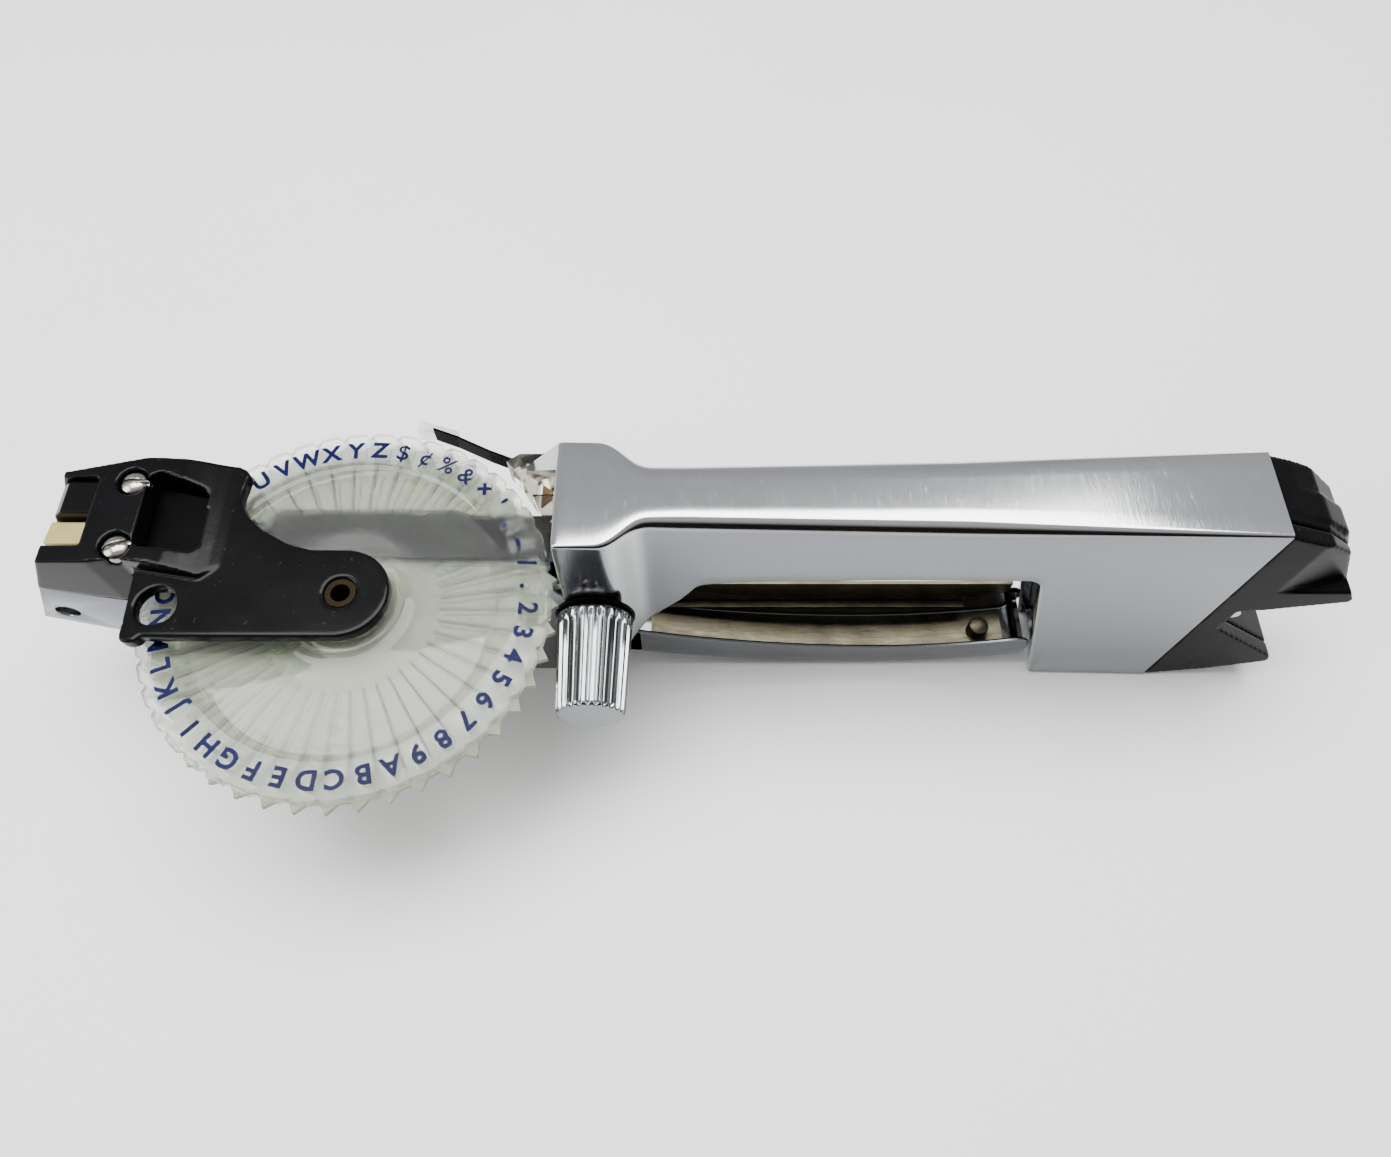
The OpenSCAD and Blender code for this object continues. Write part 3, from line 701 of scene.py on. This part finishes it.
def build_head():
    # The arm's plan runs down the nose, out round the hub and back to the nose.
    arm = round_path([(-24, 13.2), (-42, 13.2), (-41, -11), (-40.4, -22.0), (-39.0, -24.4),
                      (-36.0, -24.7), (-12, -24.7)], [0, 0, 0, 1.5, 1.5, 3, 0], closed=False)
    arm += [polar(9.4, a, HUB) for a in range(-90, 91, 6)]
    arm += round_path([(-7.1, -5.8), (-11.7, -4.7), (-18.2, -1), (-21.4, 2), (-23.6, 6),
                       (-22.9, 11.9)], [8, 12, 10, 8, 5, 0], closed=False)
    head = prism("head", arm, ARM_LOW, ARM_TOP)
    nose_plan = [(-65, 10.3), (-58, 10.3), (-42.4, 13.8), (-25, 13.6), (-22.9, 11.9), (-23.6, 6),
                 (-24, -9), (-28, -12.2), (-43, -9.8), (-49, -10.6), (-65, -10.6)]
    nose_side = [(-64.2, 48.2), (-58.4, 59.5), (-39, 59.5), (-34.5, 59.1), (-31.5, 58.2),
                 (-29, 57.2), (-26.5, 56.4), (-24, 55.95), (-22, 55.9), (-22, 46), (-49, 42.9)]
    nose = prism("nose", nose_plan, 40, 68)
    common(nose, prism("side", nose_side, -16, 16, "y"))
    tab_plan = round_path([(-40.4, -25.8), (-36.4, -25.8), (-36.4, -21), (-40.4, -21)],
                          [1.4, 1.4, 0, 1])
    tab = prism("tab", tab_plan, 52.2, ARM_TOP)
    union(head, nose, tab)
    pocket = round_path([(-41.2, 9.2), (-39, 10.2), (-30.4, 7.2), (-29.4, 5.8), (-29, -5.6),
                         (-30.4, -7), (-39.8, -7), (-41, -5.8)],
                        [1.2, 1.4, 1.2, 1, 1, 1, 1, 1], arc=4)
    cut(head,
        tube("wheel_room", HUB, WHEEL_ROOM_R, 45.3, 53.1, sides=160),
        prism("pocket", pocket, 50, 70),
        tube("window", (-34.9, -18.2), 4.0, 50, 60, sides=64),
        tube("hub_hole", HUB, 3.2, 50, 60),
        *[tube("screw_well", spot, 3.1, SCREW_SEAT_Z, 70) for spot, turn in HEAD_SCREWS],
        box_solid("slot", (-70, -5.2, 47.3), (-34, 5.2, 49.7)),
        tube("hammer_way", (-32.6, 0), 2.85, 40, 48),
        box_solid("notch", (-70, -6.8, 49.4), (-51.0, 8.9, 66)))
    union(head, box_solid("web", (-51.4, -6.9, 50.0), (-50.4, 9.0, 58.9)))
    soften(head, 0.30, 7)
    finish_piece(head, "head_casting", ENAMEL, "frame", ["head_yoke"], 60)


def build_small_head_parts():
    pad_plan = round_path([(-61.0, -4.4), (-52, -4.4), (-52, 0.7), (-60.6, 0.7)], 0.5)
    pad = prism("pad", pad_plan, 49.2, 55.7)
    bevel(pad, 0.45, 3)
    bake(pad)
    finish_piece(pad, "exit_pad_moulding", CREAM, "frame", ["exit_pad"])

    button = prism("button", [(-61.8, 51.0), (-51.3, 51.0), (-51.3, 58.3), (-57.6, 58.3),
                              (-59.4, 56.8), (-61.7, 51.4)], 1.2, 8.6, "y")
    soften(button, 0.2, 6)
    finish_piece(button, "cutter_button_cap", ENAMEL, "cutter", ["cutter_button"], 60)

    profile = [(1.25, 36.0), (1.25, SCREW_SEAT_Z), (2.78, SCREW_SEAT_Z), (2.85, 57.35),
               (2.85, 58.3), (2.7, 58.75), (2.3, 59.2), (1.6, 59.6), (0.8, 59.8), (0.3, 59.85)]
    screws = []
    for (x, y), turn in HEAD_SCREWS:
        screw = lathe("screw", profile, (x, y), sides=48)
        slot = box_solid("slot", (-3.2, -0.48, 58.2), (3.2, 0.48, 61.0))
        spin = Matrix.Translation(place((x, y, 0))) @ Matrix.Rotation(math.radians(turn), 4, "Z") \
            @ Matrix.Translation(-place((0, 0, 0)))
        slot.data.transform(spin)
        cut(screw, slot)
        screws.append(screw)
    screw = join(*screws)
    bevel(screw, 0.08, 2, 40)
    bake(screw)
    finish_piece(screw, "head_screw_pair", SCREW, "frame", ["head_screws"])


# ---------------------------------------------------------------- character wheel
SYMBOLS = "UVWXYZ$¢%&×',-/.23456789ABCDEFGHIJKLMNOPQRST"
LETTERS = len(SYMBOLS)
PITCH = 360.0 / LETTERS
FIRST_ANGLE = 128.5               # of the first symbol, which the others follow clockwise
LETTER_SIZE = 5.2
LETTER_R, LETTER_Z = 36.0, 51.91
LETTER_MIDDLE = 1.85              # half of a capital's height
DENSE_SIGNS = "$¢%&"              # drawn lighter than the rest, so that they don't fill in
LIGHT, BOLD = 0.012, 0.034        # how far the strokes are fattened, for a size of 1
SCALLOP = 1.0                     # depth of the rim's dips
SLOT_LOW, SLOT_HIGH = 46.9, 47.98
# (radius, height, share of the rim's scallop) right round the clear disc's section.
DISC_SECTION = [
    (5.03, 50.35, 0), (5.03, 51.6, 0), (5.2, 51.8, 0), (7.2, 51.8, 0), (8.7, 51.8, 0),
    (8.8, 51.9, 0), (8.8, 52.4, 0), (9.1, 52.7, 0), (10.1, 52.72, 0), (11.1, 52.7, 0),
    (11.4, 52.4, 0), (11.4, 51.75, 0), (11.6, 51.6, 0), (14, 51.58, 0), (17, 51.58, 0),
    (20, 51.58, 0), (23, 51.58, 0), (26, 51.58, 0), (29, 51.58, 0), (31.0, 51.58, 0),
    (31.4, 51.62, 0), (32.0, 51.8, 0), (32.6, 51.83, 0), (34, 51.83, 0), (36, 51.83, 0),
    (38, 51.83, 0), (39.2, 51.83, 0.35), (40.1, 51.8, 0.9), (40.35, 51.6, 1), (40.35, 50.5, 1),
    (40.15, 50.32, 0.9), (39, 50.3, 0.3), (36, 50.3, 0), (32.8, 50.3, 0), (32.2, 50.5, 0),
    (29, 50.5, 0), (20, 50.5, 0), (12, 50.5, 0), (11.4, 50.3, 0), (5.2, 50.3, 0)]


def letter_mesh(symbol, size):
    font = bpy.data.curves.new("letter", "FONT")
    font.body = symbol
    font.size = size
    font.offset = (LIGHT if symbol in DENSE_SIGNS else BOLD) * size
    font.resolution_u = 3
    obj = add_object("letter", font)
    bpy.context.view_layer.update()
    deps = bpy.context.evaluated_depsgraph_get()
    mesh = bpy.data.meshes.new_from_object(obj.evaluated_get(deps))
    bpy.data.objects.remove(obj)
    bpy.data.curves.remove(font)
    return mesh


def build_wheel():
    per_letter = 10
    rows = []
    for radius, height, share in DISC_SECTION + DISC_SECTION[:1]:
        row = []
        for k in range(LETTERS * per_letter + 1):
            edge = abs((k % per_letter) / per_letter - 0.5) * 2
            dip = SCALLOP * ease((edge - 0.55) / 0.45) * share
            x, y = polar(radius - dip, FIRST_ANGLE + (k / per_letter - 0.5) * PITCH, HUB)
            row.append((x, y, height))
        rows.append(row)
    disc = grid_mesh("disc", rows)
    blocks = []
    for i in range(LETTERS):
        angle = FIRST_ANGLE - i * PITCH
        base = []
        for radius, spread in ((33.4, 2.5), (38.6, 2.3), (38.6, -2.3), (33.4, -2.5)):
            base.append(polar(radius, angle + spread, HUB))
        blocks.append(prism("block", base, 49.86, 50.28))
    join(disc, *blocks)
    for i in range(4):
        spot = polar(25.0, 62 + 90 * i, HUB)
        ring = []
        for radius, height in ((2.0, 51.6), (2.08, 51.64), (2.16, 51.64), (2.24, 51.6),
                               (2.0, 51.6)):
            ring.append([(*polar(radius, 15 * k, spot), height) for k in range(25)])
        join(disc, grid_mesh("mark", ring))
    finish_piece(disc, "clear_disc", CLEAR, "wheel", ["upper_die_wheel"], 40)

    # Painted shade: thin dark strips in the lower disc's slots stand in for the shade between its
    # ribs.
    lines = []
    for i in range(LETTERS):
        angle = i * PITCH
        base = []
        for radius, side in ((17.6, -0.2), (35.4, -0.2), (35.4, 0.2), (17.6, 0.2)):
            x, y = polar(radius, angle)
            nx, ny = polar(side, angle + 90)
            base.append((x + nx, y + ny + WHEEL_Y))
        lines.append(prism("line", base, SLOT_LOW, SLOT_HIGH))
    shade_strips = join(*lines)
    finish_piece(shade_strips, "wheel_slot_painted_shade", SLOT_PAINTED_SHADE, "wheel")

    bm = bmesh.new()
    for i, symbol in enumerate(SYMBOLS):
        mesh = letter_mesh(symbol, LETTER_SIZE)
        across = [v.co.x for v in mesh.vertices]
        middle = (min(across) + max(across)) / 2
        angle = math.radians(FIRST_ANGLE - i * PITCH)
        turn = Matrix.Rotation(angle - math.pi / 2, 3, "Z")
        outward = Vector((math.cos(angle), math.sin(angle), 0.0))
        for v in mesh.vertices:
            flat = Vector((v.co.x - middle, v.co.y - LETTER_MIDDLE, 0.0))
            spot = turn @ flat + outward * LETTER_R
            v.co = place((spot.x, spot.y + WHEEL_Y, LETTER_Z))
        bm.from_mesh(mesh)
        bpy.data.meshes.remove(mesh)
    sheet = bpy.data.meshes.new("letters")
    bm.to_mesh(sheet)
    bm.free()
    letters = add_object("wheel_letters", sheet)
    thicken(letters, 0.09, 0.0)
    finish_piece(letters, "wheel_letters", INK, "wheel")


# ---------------------------------------------------------------- feed knob
def build_knob():
    per_flute = 12
    sides = 26 * per_flute
    root, tip = -13.05, -34.7
    thick, thin, length = 7.9, 6.95, 21.65
    flute_depth, flute_share = 0.78, 0.62
    rows = []
    # Travel from the root, change of radius, share of the flutes' depth.
    stations = [(0.0, -0.7, 0), (0.15, -0.25, 0), (0.5, 0.0, 0), (1.3, 0.0, 0.1), (2.2, 0.0, 0.8),
                (3.0, 0.0, 1.0), (7.0, 0, 1), (12.0, 0, 1), (17.0, 0, 1), (20.2, 0.0, 1.0),
                (20.7, -0.02, 0.9), (21.2, -0.12, 0.55), (21.5, -0.35, 0.2), (21.65, -0.65, 0.0)]
    for travel, pull, depth in stations:
        base = thick - (thick - thin) * travel / length + pull
        row = []
        for k in range(sides):
            phase = (k / per_flute) % 1.0
            groove = 0.0
            reach = abs(phase - 0.5) * 2
            if reach < flute_share:
                groove = flute_depth * math.cos(reach / flute_share * math.pi / 2) ** 0.8
            r = base - groove * depth
            u, v = polar(r, 360.0 * k / sides, SHAFT)
            row.append((u, root - travel, v))
        row.append(row[0])
        rows.append(row)
    knob = grid_mesh("knob", rows, close_ends=True)
    face = [(6.3, tip), (6.0, tip - 0.03), (3.0, tip - 0.06), (0.4, tip - 0.07)]
    cap = lathe("cap", [(6.3, tip + 0.4)] + face, SHAFT, "y", 96)
    finish_piece(knob, "feed_knob_fluted", CHROME_KNOB, "knob", ["feed_knob"], 50)
    finish_piece(cap, "feed_knob_end", KNOB_END, "knob")

    profile = [(3.2, -12.05), (8.1, -12.05), (8.35, -12.2), (8.35, -12.5), (8.1, -12.7),
               (3.2, -12.7)]
    collar = lathe("collar", profile, SHAFT, "y", 96)
    finish_piece(collar, "knob_collar_ring", SATIN, "frame", ["knob_collar"])


# ---------------------------------------------------------------- trigger
TRIGGER_HALF = 7.0


def bow_low(x):
    """Height of the trigger's underside, which is bowed towards both ends."""
    return 0.6 + (7.2 * ((x - 108) / 54.5) ** 2 if x < 108 else 5 * ((x - 108) / 39) ** 2)


def bow_high(x):
    """Height of the trigger's upper edge."""
    return 10.2 + (9 * ((x - 112) / 57) ** 2 if x < 112 else 5.2 * ((x - 112) / 34) ** 2)


def build_trigger():
    rows = []
    stations = [49 + 1.75 * k for k in range(55)]
    stations += [145.2, 145.9, 146.5, 146.9, 147.1]
    for x in sorted(stations):
        over = max(0.0, x - 143.6) / 3.5
        blunt = 1 - math.sqrt(max(0.0, 1 - min(1.0, over) ** 2))
        high = bow_high(x) - 3.2 * blunt
        low = bow_low(x) + 3.6 * blunt
        r = 1.8
        half = [(x, TRIGGER_HALF - 0.5, high), (x, TRIGGER_HALF - 0.12, high - 0.1),
                (x, TRIGGER_HALF, high - 0.45)]
        for k in range(1, 4):
            half.append((x, TRIGGER_HALF, high - 0.45 + (low + r - high + 0.45) * k / 3))
        for k in range(1, 7):
            a = math.pi / 2 * k / 6
            half.append((x, TRIGGER_HALF - r * (1 - math.cos(a)), low + r * (1 - math.sin(a))))
        rows.append(mirrored_row(half, TOP_STEPS))
    shell = grid_mesh("trigger", rows)
    thicken(shell, 1.1, 1.0)
    ears_side = round_path([(41.4, 11.5), (41.4, 18), (44.5, 21.5), (49.4, 21.4), (56, 19.6),
                            (56, 9.2), (48, 9.6)], [2, 2, 2, 1, 0, 0, 2])
    ears = prism("ears", ears_side, -TRIGGER_HALF, TRIGGER_HALF, "y")
    cut(ears, box_solid("gap", (40, -5.8, 5), (60, 5.8, 25)))
    tab = prism("tab", [(46.5, 20.4), (34, 19.7), (33.2, 19.3), (32.7, 18.3), (33.1, 17.2),
                        (34, 16.9), (37, 16.9), (46.5, 12)], -3.0, 3.0, "y")
    boss = tube("boss", (46.5, 16.0), 4.6, -6.9, 6.9, "y")
    join(shell, ears, tab, boss)
    finish_piece(shell, "trigger_channel", CHROME_TRIGGER, "trigger", ["trigger_lever"], 40)

    # The lining takes the painted-shade nickel, dark brown for the shade inside the channel.
    lining = []
    for k in range(46):
        x = 58 + 1.9 * k
        z = bow_low(x) + 1.16
        lining.append([(x, y, z) for y in (-5.7, -2.8, 0.0, 2.8, 5.7)])
    floor = grid_mesh("lining", lining)
    thicken(floor, 0.12, 1.0)
    rail = []
    for k in range(38):
        x = 58 + 2.05 * k
        rail.append([(x, 5.7, 9.6), (x, 4.1, 9.6), (x, 3.9, 9.2), (x, 4.1, 8.8), (x, 5.7, 8.8)])
    ledge = grid_mesh("ledge", rail, close_ends=True)
    # The far wall of the lining stands higher, and shows through the finger gap; in its dark
    # painted-shade nickel it also stands in for the shade seen there.
    wall_top = 18.2
    wall = []
    for k in range(40):
        x = 58 + 2.2 * k
        foot = bow_low(x)
        wall.append([(x, 5.95, foot + 1.4), (x, 5.95, wall_top), (x, 6.75, wall_top),
                     (x, 6.75, foot + 2.0), (x, 5.95, foot + 1.4)])
    join(floor, ledge, grid_mesh("wall", wall, close_ends=True))
    finish_piece(floor, "trigger_lining", SHADED_NICKEL, "trigger", (), 40)

    profile = [(2.4, 3.5), (2.4, 7.4), (2.2, 7.8), (1.8, 8.0), (0.6, 8.1)]
    stud = lathe("stud", profile, (137.5, 0.0), sides=48)
    finish_piece(stud, "trigger_stud_head", SHADED_NICKEL, "trigger", ["trigger_stud"])


# ---------------------------------------------------------------- magazine
def build_magazine():
    tail = round_path([(178.5, 0.4), (192, 3.4), (205.2, 8.2), (203.8, 11.2), (184.5, 26.4),
                       (185, 35.2), (189.8, 35.5), (206.2, 39.6), (206.3, 41), (197, 58.8),
                       (191, 63), (180.4, 66.4)],
                      [0, 6, 1.2, 1.2, 0.8, 0.8, 0.8, 0.8, 0.8, 3, 5, 0], arc=4)
    inner = [(144.9, 64.8), (panel_x(46) + 4.9, 46), (panel_x(2) + 4.9, 2), (181, 2), (183, 64.8)]
    whole = prism("tail", tail, -9.5, 9.5, "y")
    taper = []
    for side in (-1, 1):
        plan = [(188, side * 9.6), (208, side * 5.2), (208, side * 12), (188, side * 12)]
        taper.append(prism("wedge", plan[::side], 44, 70))
    cut(whole, *taper)
    union(whole, prism("inner", inner, -7.0, 7.0, "y"))
    # The upper rear edge is stepped down on both sides of a middle rib.
    for low_y, high_y, drop in ((-9.6, -3.6, 0.55), (2.6, 9.6, 0.35)):
        step = [(184, 66.0), (181.5, 67.5), (181.5, 66.6 - drop), (190.6, 63.2 - drop),
                (196.6, 58.6 - drop * 1.4), (205.8, 41.2), (209, 41.2), (209, 70)]
        cut(whole, prism("step", step, low_y, high_y, "y"))
    cut(whole, tube("roll_room", (165, 44.7), 18.2, -5.4, 5.4, "y", 96),
        box_solid("tape_slot", (143, -5.4, 61.6), (165, 5.4, 63.6)))
    # Case and side cover part at a thin seam.
    case_y, lid_y = -5.55, -5.75
    lid = add_object("lid", whole.data.copy())
    cut(whole, box_solid("half", (100, -30, -10), (260, case_y, 90)))
    common(lid, box_solid("half", (100, -30, -10), (260, lid_y, 90)))
    soften(whole, 0.38, 4)
    soften(lid, 0.38, 4)
    finish_piece(whole, "magazine_body", SATIN, "magazine", ["magazine_case"], 60)
    finish_piece(lid, "magazine_lid", SATIN, "magazine", ["magazine_cover"], 60)


# ---------------------------------------------------------------- chassis and carried-over nodes
def build_chassis():
    pan = [(-64.1, 47.9), (-70.3, 35.1), (-57.2, 27.7), (-8, 0.0), (38.5, 0.0), (38.5, 24),
           (49.8, 24), (49.8, 42.6), (-48.9, 42.6)]
    plan = [(-71, 10.5), (-44, 10.5), (-34, 8), (44.8, 8), (44.8, 10.2), (52, 10.2)]
    body = prism("chassis", plan + [(x, -y) for x, y in reversed(plan)], -5, 70)
    common(body, prism("side", pan, -12, 12, "y"))
    hollow = [(-40, 40.8), (-40, 20.4), (-7.4, 2), (39, 2), (39, 24.5), (36, 24.5), (36, 40.8)]
    cut(body, prism("hollow", hollow, -6.2, 6.2, "y"),
        tube("screw_well", (-64.2, 37.2), 2.4, -12, -8.9, "y"),
        box_solid("fork", (38.4, -6.2, 23), (53, 6.2, 44)),
        tube("shaft_hole", SHAFT, 3.0, -12, 12, "y"))
    lug = union(tube("lug", HUB, 6.5, 41, 44.8),
                box_solid("arm", (-6.5, WHEEL_Y, 41), (6.5, -7, 42.6)))
    cut(lug, tube("bore", HUB, 3.02, 38, 50))
    bevel(body, 0.7, 3)
    bake(body)
    join(body, lug)
    finish_piece(body, "chassis_shell", CHROME_SHADED, "frame", ["front_chassis"], 40)


CARRIED = {
    "channel_floor": STEEL, "chassis_screws": SCREW, "nose_screw": SCREW, "anvil_block": ANVIL,
    "wheel_axle": DULL_BRASS, "axle_clip": STEEL, "tape_guide": BAND, "tape_nozzle": SMOKY,
    "tape_leaf": BRASS, "detent_spring": SATIN, "detent_shoe": CLEAR, "tape_strip": TAPE,
    "trigger_pin": SCREW, "lever_pin": SCREW, "pinch_pin": SCREW, "shaft_bushes": BRASS,
    "heel_rivets": STEEL, "trigger_spring": STEEL, "cutter_spring": STEEL, "lower_die_wheel": TEETH,
    "wheel_hub": PALE, "press_lever": STEEL, "punch_hammer": STEEL, "feed_shaft": STEEL,
    "shaft_clip": STEEL, "feed_roller": RUBBER, "pinch_roller": BRASS, "cutter_blade": STEEL,
    "magazine_screw": SCREW, "notch_pin": STEEL, "reel_axle": STEEL, "reel_hub": PALE,
    "tape_roll": TAPE,
}
BEVELS = {"detent_spring": 0.12, "tape_nozzle": 0.5, "notch_pin": 0.3, "anvil_block": 0.3,
          "lower_die_wheel": 0.12, "trigger_pin": 0.3, "pinch_pin": 0.25, "chassis_screws": 0.15,
          "detent_shoe": 0.2, "press_lever": 0.4, "reel_hub": 0.3, "wheel_axle": 0.2}


def dress_carried():
    """Gives the CAD shapes that are kept as they are their materials and edge rounding."""
    for name, material in CARRIED.items():
        obj = NODES[name]
        obj.data.materials.clear()
        obj.data.materials.append(material)
        if name in BEVELS:
            bevel(obj, BEVELS[name], 2, 35)


set_up_stage()
build_housing()
build_head()
build_small_head_parts()
build_wheel()
build_knob()
build_trigger()
build_magazine()
build_chassis()
dress_carried()
